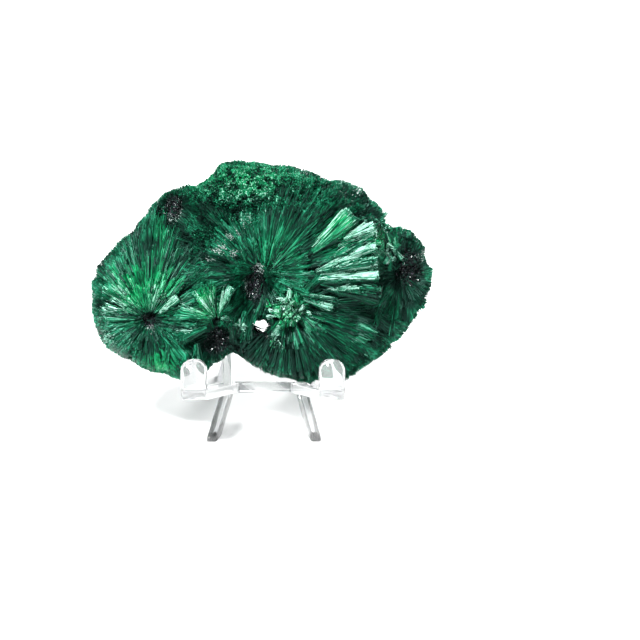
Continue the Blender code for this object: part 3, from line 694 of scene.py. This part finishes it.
# Streaks that run out from the spray's centre, as a mask from 0 to 1 and a height for bump
def streakGroup():
    tree, given, result = newTree("fibreStreaks", "ShaderNodeTree", [
        ("Fineness", "Float", 16.0), ("Run", "Float", 11.0), ("Contrast", "Float", 1.0),
        ("Flatten", "Float", 0.85),
    ], [("Streak", "Float"), ("Height", "Float")])
    spot = addNode(tree, "ShaderNodeTexCoord").outputs["Object"]
    centre = addNode(tree, "ShaderNodeAttribute", attribute_name="sprayCentre").outputs["Vector"]
    out = vectorNode(tree, "SUBTRACT", {0: spot, 1: centre}).outputs[0]
    rise = vectorNode(tree, "DOT_PRODUCT", {0: out, 1: planeAxes[2]}).outputs["Value"]
    flattened = mathNode(tree, "MULTIPLY", rise, given["Flatten"])
    lift = vectorNode(tree, "SCALE", {0: planeAxes[2], "Scale": flattened}).outputs[0]
    level = vectorNode(tree, "SUBTRACT", {0: out, 1: lift}).outputs[0]
    unit = vectorNode(tree, "NORMALIZE", {0: level}).outputs[0]
    length = vectorNode(tree, "LENGTH", {0: out}).outputs["Value"]
    drift = mathNode(tree, "MULTIPLY", length, given["Run"])
    noises = []
    for times, detail in ((1.0, 5.0), (5.0, 2.0)):
        noise = addNode(tree, "ShaderNodeTexNoise", {
            "Vector": unit, "W": mathNode(tree, "DIVIDE", drift, times),
            "Scale": mathNode(tree, "MULTIPLY", given["Fineness"], times),
            "Detail": detail, "Roughness": 0.65,
        }, noise_dimensions="4D")
        noises.append(noise.outputs["Fac"])
    both = weighted(tree, (noises[0], 0.6), (noises[1], 0.4))
    spread = aboveLevel(tree, both, 0.5, given["Contrast"])
    fill(result, {"Streak": mathNode(tree, "ADD", spread, 0.5), "Height": noises[1]})
    return tree


# The green of malachite, from nearly black through full green, by depth of tone; the brightest green is
# mint, partly a painted sheen, the emerald also stands for the painted glow of lit fibres, and the near
# white is a painted highlight
greens = {
    "black": (0.0014, 0.013, 0.009),
    "deep": (0.0024, 0.042, 0.025),
    "full": (0.0036, 0.132, 0.062),
    "bright": (0.0500, 0.400, 0.240),
    "emeraldAndLitGlow": (0.0020, 0.440, 0.130),
    "paintedSheen": (0.580, 0.900, 0.780),
}

# How tone turns into colour and roughness, and what each kind of place does to them; a pair is a
# level and the gain above it
toneLook = {
    # The moves paint light and shade: up where the emerald glow of lit fibres is painted, down as painted
    # shade in shaded places, in the hollows and in the gaps under the cluster
    "moved": {"emeraldAndLitGlow": 0.12, "paintedShade": -0.25, "hollow": -0.45, "cluster": -0.19},
    "stops": [(0.24, "black"), (0.43, "deep"), (0.62, "full"), (0.86, "bright")],
    # A painted emerald glow above a level of tone, and a painted sheen, near white, from the fine streak,
    # the tone and the sheen places
    "vivid": (0.42, 2.4),
    "fineShine": 5.5,
    "toneShine": 1.8,
    "paintedSheenWeight": 1.4,
    "shine": (2.32, 1.7),
    "roughness": 0.34,
    "rougher": {"paintedSheen": -0.12, "velvet": 0.16, "hollow": 0.30, "paintedShade": 0.18},
}


# Colour by tone: a painted emerald glow where that is asked, and a painted sheen, near white, where the
# fine streak is high
def toneGroup():
    tree, given, result = newTree("malachiteTone", "ShaderNodeTree", [
        ("Tone", "Float", 0.5), ("Fine", "Float", 0.5),
    ], [("Color", "Color"), ("Roughness", "Float")])

    def blend(factor, first, second):
        settings = {"Factor": factor, "A": first, "B": (*greens[second], 1)}
        node = addNode(tree, "ShaderNodeMix", settings, data_type="RGBA", clamp_factor=True)
        return node.outputs["Result"]

    tone = movedByPlace(tree, given["Tone"], toneLook["moved"])
    plain = rampColour(tree, tone, [(at, greens[name]) for at, name in toneLook["stops"]])
    # Painted glow: the vivid emerald mixed in where the emerald places rise above the level
    above = aboveLevel(tree, tone, *toneLook["vivid"])
    vivid = mathNode(tree, "MULTIPLY", above, surfaceValue(tree, "emeraldAndLitGlow"))
    # Painted sheen: near white where the fine streak, the tone and the sheen places add up past the level
    shine = weighted(
        tree,
        (mathNode(tree, "SUBTRACT", given["Fine"], 0.5), toneLook["fineShine"]),
        (tone, toneLook["toneShine"]),
        (surfaceValue(tree, "paintedSheen"), toneLook["paintedSheenWeight"]),
    )
    shine = aboveLevel(tree, shine, *toneLook["shine"])
    fill(result, {
        "Color": blend(shine, blend(vivid, plain, "emeraldAndLitGlow"), "paintedSheen"),
        "Roughness": movedByPlace(tree, toneLook["roughness"], toneLook["rougher"]),
    })
    return tree


def newMaterial(name):
    material = bpy.data.materials.new(name)
    material.use_nodes = True
    return material, material.node_tree, material.node_tree.nodes["Principled BSDF"]


# Streaks for the fibres and specks for the velvet; a pair is a level and the gain above it, and the
# gloss takes the green of the fibres
fibreLook = {
    "streaks": {"Fineness": 16.0, "Contrast": 2.2},
    "speckScale": 2000.0,
    "speckContrast": 3.0,
    "needle": {"streak": 0.55, "shade": 0.40, "along": 0.08},
    # Painted shade and light: tone lowered in the valleys between ridges and velvet grains and raised on
    # their crests
    "crest": (0.55, 0.42),
    "patchScale": 330.0,
    "patch": (0.5, 0.55),
    "bump": (0.6, 0.00012),
    "shader": {"IOR": 1.62, "Specular Tint": (0.50, 1.0, 0.82, 1)},
}


def fibreMaterial(name, perNeedle, streaks, tones):
    material, tree, shader = newMaterial(name)
    streak = addNode(tree, "ShaderNodeGroup", node_tree=streaks)
    fill(streak, fibreLook["streaks"])
    grain = noiseValue(tree, fibreLook["speckScale"], 3.0)
    specks = mathNode(tree, "ADD", aboveLevel(tree, grain, 0.5, fibreLook["speckContrast"]), 0.5)
    velvet = surfaceValue(tree, "velvet")

    def toVelvet(fibrous, granular):
        settings = {"Factor": velvet, "A": fibrous, "B": granular}
        return addNode(tree, "ShaderNodeMix", settings, clamp_factor=True).outputs["Result"]

    tone = toVelvet(streak.outputs["Streak"], specks)
    if perNeedle:
        shares = fibreLook["needle"]
        tone = weighted(
            tree,
            (tone, shares["streak"]),
            (surfaceValue(tree, "shade"), shares["shade"]),
            (surfaceValue(tree, "along"), shares["along"]),
        )
    # Painted shade in the valleys between ridges and grains, painted light on their crests
    crest = aboveLevel(tree, surfaceValue(tree, "crest"), *fibreLook["crest"])
    patch = aboveLevel(tree, noiseValue(tree, fibreLook["patchScale"], 3.0), *fibreLook["patch"])
    for part in (crest, patch, surfaceValue(tree, "bundleTone")):
        tone = mathNode(tree, "ADD", tone, part)
    coloured = addNode(tree, "ShaderNodeGroup", node_tree=tones)
    fill(coloured, {"Tone": tone, "Fine": toVelvet(streak.outputs["Height"], grain)})
    fill(shader, fibreLook["shader"])
    made = coloured.outputs
    fill(shader, {"Base Color": made["Color"], "Roughness": made["Roughness"]})
    bumpFrom(shader, streak.outputs["Height"], *fibreLook["bump"])
    return material


# Small crystals, each of one shade: how rough they are, how much darker away from the glitter, and
# the colours from the darkest to the brightest with their places
crystalLooks = {
    # The blocks' palest colour is a painted sheen on their facets
    "brightBlocks": {"roughness": 0.20, "darker": 0.0, "stops": [
        (0.22, greens["black"]), (0.44, greens["full"]), (0.64, greens["emeraldAndLitGlow"]),
        (0.82, greens["paintedSheen"]),
    ]},
    # The druse is darker away from the glitter as painted shade in the hollows
    "darkDruse": {"roughness": 0.25, "darker": 0.3, "stops": [
        (0.32, (0.002, 0.006, 0.006)), (0.48, (0.040, 0.040, 0.050)), (0.74, (0.150, 0.138, 0.180)),
    ]},
    # Painted glints: the pale crystals' near white
    "paleGlitter": {"roughness": 0.25, "darker": 0.0, "stops": [
        (0.20, greens["deep"]), (0.40, (0.150, 0.260, 0.220)), (0.62, (0.720, 0.820, 0.790)),
    ]},
}
crystalGrain = {"scale": 2600.0, "share": 0.35, "bump": (0.35, 0.0001), "ior": 1.6}


def crystalMaterial(name):
    look, share = crystalLooks[name], crystalGrain["share"]
    material, tree, shader = newMaterial(name)
    noise = noiseValue(tree, crystalGrain["scale"], 2.0)
    tone = weighted(tree, (surfaceValue(tree, "shade"), 1 - share), (noise, share))
    # Painted shade in the hollows: the druse darker away from the glitter, whose painted glints stay bright
    away = mathNode(tree, "SUBTRACT", 1.0, surfaceValue(tree, "glitter"))
    tone = mathNode(tree, "SUBTRACT", tone, mathNode(tree, "MULTIPLY", away, look["darker"]))
    colour = rampColour(tree, tone, look["stops"])
    fill(shader, {"Base Color": colour, "Roughness": look["roughness"], "IOR": crystalGrain["ior"]})
    bumpFrom(shader, noise, *crystalGrain["bump"])
    return material


# Clear plastic, a little milky
plasticLook = {
    "Base Color": (0.96, 0.97, 0.97, 1),
    "Roughness": 0.07,
    "IOR": 1.49,
    "Transmission Weight": 0.82,
}


def clearPlastic():
    material, _, shader = newMaterial("clearPlastic")
    fill(shader, plasticLook)
    return material


stage = {
    "floorSize": 4.0,
    "floor": {"Base Color": (0.92, 0.92, 0.92, 1), "Roughness": 0.55},
    "worldColour": (0.95, 0.97, 1.0, 1),
    "worldStrength": 0.22,
    "worldThroughPlastic": 0.75,
    "sunStrength": 3.9,
    "sunAngleDeg": 9.0,
    "sunFrom": (-0.34, -0.52, 0.80),
    "lampSize": 0.4,
    "lamps": {"fillLight": (0.7, (0.45, -0.45, 0.25)), "backLight": (6.0, (0.25, 0.55, 0.40))},
}


def aimedObject(name, data, at, way):
    made = newObject(name, data)
    made.location = at
    made.rotation_mode = "QUATERNION"
    made.rotation_quaternion = way.to_track_quat("-Z", "Y")
    return made


def makeStage():
    mesh = bpy.data.meshes.new("floor")
    half = stage["floorSize"] / 2
    corners = [(-half, -half, 0), (half, -half, 0), (half, half, 0), (-half, half, 0)]
    mesh.from_pydata(corners, [], [(0, 1, 2, 3)])
    material, _, shader = newMaterial("paleFloor")
    fill(shader, stage["floor"])
    mesh.materials.append(material)
    newObject("floor", mesh)
    world = bpy.data.worlds.new("paleRoom")
    world.use_nodes = True
    tree = world.node_tree
    through = addNode(tree, "ShaderNodeLightPath").outputs["Is Transmission Ray"]
    extra = mathNode(tree, "MULTIPLY", through, stage["worldThroughPlastic"])
    fill(tree.nodes["Background"], {
        "Color": stage["worldColour"], "Strength": mathNode(tree, "ADD", extra, stage["worldStrength"]),
    })
    bpy.context.scene.world = world
    bpy.context.scene.view_settings.view_transform = "Standard"
    bpy.context.scene.view_settings.look = "Medium High Contrast"
    sun = bpy.data.lights.new("keyLight", "SUN")
    sun.energy = stage["sunStrength"]
    sun.angle = math.radians(stage["sunAngleDeg"])
    at = stoneMiddle + Vector(stage["sunFrom"])
    aimedObject("keyLight", sun, at, stoneMiddle - at)
    for name, (power, at) in stage["lamps"].items():
        lamp = bpy.data.lights.new(name, "AREA")
        lamp.size = stage["lampSize"]
        lamp.energy = power
        aimedObject(name, lamp, at, stoneMiddle - Vector(at))


# The camera looks along +Y and down, at the same size and place as the photograph
view = {"elevationDeg": 20.0, "distance": 0.70, "stonePixels": 346.0, "stoneWidth": 0.0744,
        "stoneAt": (262.0, 274.5), "imageSize": 640.0, "sensorWidth": 36.0}


def makeCamera():
    tilt = math.radians(view["elevationDeg"])
    back = Vector((0, -math.cos(tilt), math.sin(tilt)))
    right = Vector((1, 0, 0))
    up = back.cross(right)
    perMetre = view["stonePixels"] / view["stoneWidth"]
    half = view["imageSize"] / 2
    target = stoneMiddle + right * (half - view["stoneAt"][0]) / perMetre
    target -= up * (half - view["stoneAt"][1]) / perMetre
    lens = bpy.data.cameras.new("camera")
    lens.sensor_width = view["sensorWidth"]
    lens.lens = view["sensorWidth"] * view["distance"] * perMetre / view["imageSize"]
    bpy.context.scene.camera = aimedObject("camera", lens, target + back * view["distance"], -back)


makeStage()
makeCamera()
print("stage: camera, lights and floor")

streaks, tones = streakGroup(), toneGroup()
needleFinish = fibreMaterial("silkyNeedles", True, streaks, tones)
stone = makeSkin()
stone.data.materials.append(fibreMaterial("fibrousSkin", False, streaks, tones))
print("stage: skin of", len(stone.data.polygons), "faces")

# What the fields of fibres share, and what the fields of grains and crystals share besides
fibreHabit = {"bed": "skin", "stretch": 1.0, "least": 0.55, "flatness": 0.6, "blunt": 0.5, "sides": 3,
              "jitter": 0.06, "spin": 0.8, "root": 0.15, "material": needleFinish}
grainHabit = {"flatness": 0.8, "blunt": 0.6, "jitter": 1.2, "spin": 3.1, "root": 0.5}

# Each field: where it grows, how many, half width and least length in mm, and what is its own
fields = {
    "leftNeedles": {"where": "leftField", "count": 13000, "width": 0.12, "shortest": 0.6, "seed": 11},
    "mainNeedles": {"where": "mainField", "count": 14000, "width": 0.12, "shortest": 0.6, "seed": 23},
    "rightNeedles": {"where": "rightField", "count": 14000, "width": 0.12, "shortest": 0.6, "seed": 37,
                     "blunt": 0.6, "jitter": 0.05},
    "fanBundles": {"where": "share", "count": 21000, "width": 0.13, "shortest": 0.5, "seed": 61,
                   "bed": "fans", "least": 0.7, "blunt": 0.8, "jitter": 0.045, "root": 0.1},
    "logBundles": {"where": "share", "count": 15000, "width": 0.13, "shortest": 0.6, "seed": 71,
                   "bed": "logs", "least": 0.8, "flatness": 0.7, "blunt": 1.0, "jitter": 0.035,
                   "root": 0.1},
    "velvetGrains": {"where": "velvetField", "count": 14000, "width": 0.16, "shortest": 0.35, "seed": 41,
                     **grainHabit, "blunt": 0.7, "jitter": 0.9},
    "backNeedles": {"where": "backField", "count": 18500, "width": 0.16, "shortest": 0.6, "seed": 53,
                    "jitter": 0.10, "root": 0.2},
    "blockCrystals": {"where": "clusterField", "count": 130, "width": 0.45, "shortest": 1.6, "seed": 83,
                      **grainHabit, "stretch": 0.0, "flatness": 0.5, "blunt": 0.5, "sides": 4,
                      "jitter": 0.8, "root": 0.4, "material": crystalMaterial("brightBlocks")},
    "hollowDruse": {"where": "druseField", "count": 6000, "width": 0.13, "shortest": 0.30, "seed": 89,
                    **grainHabit, "stretch": 0.0, "material": crystalMaterial("darkDruse")},
    "paleGlitter": {"where": "glitterField", "count": 2400, "width": 0.13, "shortest": 0.32, "seed": 97,
                    **grainHabit, "stretch": 0.0, "flatness": 0.7,
                    "material": crystalMaterial("paleGlitter")},
}

# Bundles lie on beds: small tapering grids just under the solid's face, one for each bundle
beds = {
    "rows": 9,
    "columns": 7,
    "sunk": 0.15,
    "arch": 0.5,
    "widestArch": 1.4,
    "uneven": 0.22,
    "drop": 0.55,
    "lean": 0.035,
    "crest": 0.62,
    "rootDepth": 1.5,
    "farthestRoot": 6.0,
    "above": 20.0,
    "samples": 25,
    "steepest": 2.4,
    "steepestCrossed": 14.0,
    "crossedLength": 2.7,
    "fall": 1.5,
    "shortest": 1.2,
    "towardsLight": (-0.4, 0.9),
}

# Painted light and shade on each bundle: its tone rises on the side towards the light and falls on the
# other, drops at its edges as painted shade, and its painted sheen is weaker on the shaded side
paintedBundleShading = {
    "logs": {"side": 0.10, "edge": 0.14, "shine": 0.22},
    "fans": {"side": 0.06, "edge": 0.08, "shine": 0.0},
}


# Height of the solid's show face over each u, v
def faceHeights(flat):
    down = Vector(-planeAxes[2])
    heights = np.full(len(flat), np.nan)
    starts = toWorld(np.column_stack([flat, np.full(len(flat), beds["above"])]))
    for index, start in enumerate(starts):
        hit = solid.ray_cast(Vector(start), down)
        if hit[0] is not None:
            heights[index] = beds["above"] - hit[3] / mm
    return heights


# How far along its run a bundle has the face under it, before that drops away
def heldShare(first, run):
    shares = np.linspace(0, 1, beds["samples"])
    heights = faceHeights(first + run * shares[:, None])
    length = np.linalg.norm(run)
    steepest = beds["steepest"] if length > beds["crossedLength"] else beds["steepestCrossed"]
    falls = np.isnan(heights[1:]) | (np.diff(heights) < -steepest * length / (beds["samples"] - 1))
    return shares[np.argmax(falls)] if falls.any() else 1.0


def makeBeds(name, shapes):
    chance = np.random.default_rng(bundleSeeds["beds"])
    habit = paintedBundleShading[name]
    rows, columns = beds["rows"], beds["columns"]
    sides = np.linspace(-1, 1, columns)
    steps = np.linspace(0, 1, rows)
    spots, ways, rooms, roots, tones, shines, faces = [], [], [], [], [], [], []
    for u0, v0, u1, v1, half0, half1, tone, shine in shapes:
        first, run = np.array((u0, v0)), np.array((u1 - u0, v1 - v0))
        run = run * heldShare(first, run)
        length = np.linalg.norm(run)
        if length < beds["shortest"]:
            continue
        across = np.array((-run[1], run[0])) / length
        halves = half0 + (half1 - half0) * steps
        flat = first + run * steps[:, None, None] + across * (halves[:, None] * sides)[:, :, None]
        heights = faceHeights(flat.reshape(-1, 2)).reshape(rows, columns)
        level = np.nanmedian(heights, axis=1, keepdims=True) - beds["fall"]
        fallen = ~(heights > level)
        heights = np.where(fallen, level, heights)
        sunk = beds["sunk"] + beds["arch"] * min(half1, beds["widestArch"]) * sides**2
        sunk = sunk + beds["uneven"] * chance.random((rows, columns))
        sunk += beds["drop"] * chance.random() if name == "fans" else 0
        grid = np.dstack([flat, heights - sunk])
        way = np.gradient(grid, axis=0).reshape(-1, 3)
        start = len(spots)
        spots.extend(grid.reshape(-1, 3))
        ways.extend(way / np.linalg.norm(way, axis=1)[:, None])
        rooms.extend(np.repeat(length * (1 - steps), columns) * chance.uniform(0.92, 1.0))
        back = min(half0 * length / max(half1 - half0, 0.05), beds["farthestRoot"])
        root = (*(first - run / length * back), heights[0, columns // 2] - beds["rootDepth"])
        roots.extend([root] * (rows * columns))
        # Painted light: lighter on the bundle's side towards the light, darker on the other and at its
        # edges as painted shade, and its painted sheen weaker on the shaded side
        bright = sides * np.sign(across @ np.array(beds["towardsLight"]))
        tones.extend(np.tile(tone + habit["side"] * bright - habit["edge"] * sides**4, rows))
        shines.extend(np.tile(shine * (1 - habit["shine"] * (1 - bright)), rows))
        for row in range(rows - 1):
            for column in range(columns - 1):
                if not fallen[row:row + 2, column:column + 2].any():
                    corner = start + row * columns + column
                    faces.append((corner, corner + columns, corner + columns + 1, corner + 1))
    spots, ways = np.array(spots), np.array(ways)
    mesh = bpy.data.meshes.new(name)
    mesh.from_pydata(toWorld(spots).tolist(), [], faces)
    mesh.update()
    normals = vertexArray(mesh, "vertex_normals", "vector")
    normals *= np.where(normals @ planeAxes[2] < 0, -1.0, 1.0)[:, None]
    ways = layAlong(ways, normals @ planeAxes.T, np.full(len(ways), beds["lean"]))
    masks = {kind: placeMask(kind, spots) for kind in places}
    # The bundles' painted sheen joins that of the places
    masks["paintedSheen"] = np.maximum(masks["paintedSheen"], shines)
    share = 1 - smoothStep(0.35, 0.75, masks["velvet"])
    share *= 1 - smoothStep(0.3, 0.7, masks["hollow"])
    share *= 1 - 0.9 * smoothStep(0.4, 0.9, masks["glitter"])
    if name != "logs":
        share *= 1 - 0.9 * logMask(spots)
    storeVectors(mesh, "fibreWay", ways @ planeAxes)
    storeVectors(mesh, "faceWay", normals)
    storeVectors(mesh, "sprayCentre", toWorld(np.array(roots)))
    storeFloats(mesh, "room", np.array(rooms) * mm)
    storeFloats(mesh, "crest", np.full(len(spots), beds["crest"]))
    storeFloats(mesh, "bundleTone", np.array(tones))
    storeFloats(mesh, "share", share)
    for kind in places:
        storeFloats(mesh, kind, masks[kind])
    return newObject(name, mesh)


# Nothing of the stone passes the box of its solid
def keepInBox(mesh, node):
    low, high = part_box(node)
    points = np.clip(vertexArray(mesh), np.array(low), np.array(high))
    mesh.vertices.foreach_set("co", points.astype(np.float32).ravel())
    mesh.update()


# Cuts each needle short where it would pass through the solid's face, and drops one rooted outside
def trimNeedles(mesh, sides):
    points = vertexArray(mesh).reshape(-1, 2 * sides, 3)
    along = np.zeros(len(mesh.vertices), np.float32)
    mesh.attributes["along"].data.foreach_get("value", along)
    atTip = along.reshape(-1, 2 * sides)[0] > 0.5
    roots = points[:, ~atTip].mean(axis=1)
    tips = points[:, atTip].mean(axis=1)
    outside = np.zeros(len(points), bool)
    for index, (root, tip) in enumerate(zip(roots, tips)):
        way = Vector(tip - root)
        hit = solid.ray_cast(Vector(root), way.normalized())
        outside[index] = hit[0] is None or hit[1].dot(way) < 0
        if not outside[index] and hit[3] < way.length:
            points[index, atTip] += np.array(hit[0]) - tip
    mesh.vertices.foreach_set("co", points.astype(np.float32).ravel())
    shape = bmesh.new()
    shape.from_mesh(mesh)
    gone = [vertex for vertex, drop in zip(shape.verts, np.repeat(outside, 2 * sides)) if drop]
    bmesh.ops.delete(shape, geom=gone, context="VERTS")
    shape.to_mesh(mesh)
    shape.free()


needles = needleTree()
needleInputs = ("Where", "Seed", "Stretch", "Least", "Flatness", "Blunt", "Sides", "Jitter", "Spin",
                "Root", "Material")
hosts = {
    "skin": stone,
    "fans": makeBeds("fans", fanShapes(fans, bundleSeeds["fans"])),
    "logs": makeBeds("logs", strongBundles + crossedShapes(bundleSeeds["crossed"])),
}
print("stage: beds for", len(hosts["fans"].data.polygons), "and", len(hosts["logs"].data.polygons))
for name, own in fields.items():
    habit = {**fibreHabit, **own}
    host = hosts[habit["bed"]]
    settings = {label: habit[label.lower()] for label in needleInputs}
    settings["Density"] = habit["count"] / fieldArea(host.data, habit["where"])
    settings["Width"] = habit["width"] * mm
    settings["Shortest"] = habit["shortest"] * mm
    mesh = runTree(host, needles, settings)
    trimNeedles(mesh, habit["sides"])
    keepInBox(mesh, "malachite")
    dress(newObject(name, mesh), "malachite")
    print("stage:", name, len(mesh.polygons), "faces")
for name in ("fans", "logs"):
    bpy.data.objects.remove(hosts[name])
dress(stone, "malachite")

plastic = clearPlastic()
sharpFrom = math.radians(35)
for node in ("stand_left_side", "stand_right_side", "stand_seat_bar", "stand_top_bar"):
    piece = mergedCopy(node, node.replace("stand_", "clear_"))
    piece.data.materials.append(plastic)
    piece.data.shade_smooth()
    piece.data.set_sharp_from_angle(angle=sharpFrom)
    dress(piece, node)
print("stage: stand")
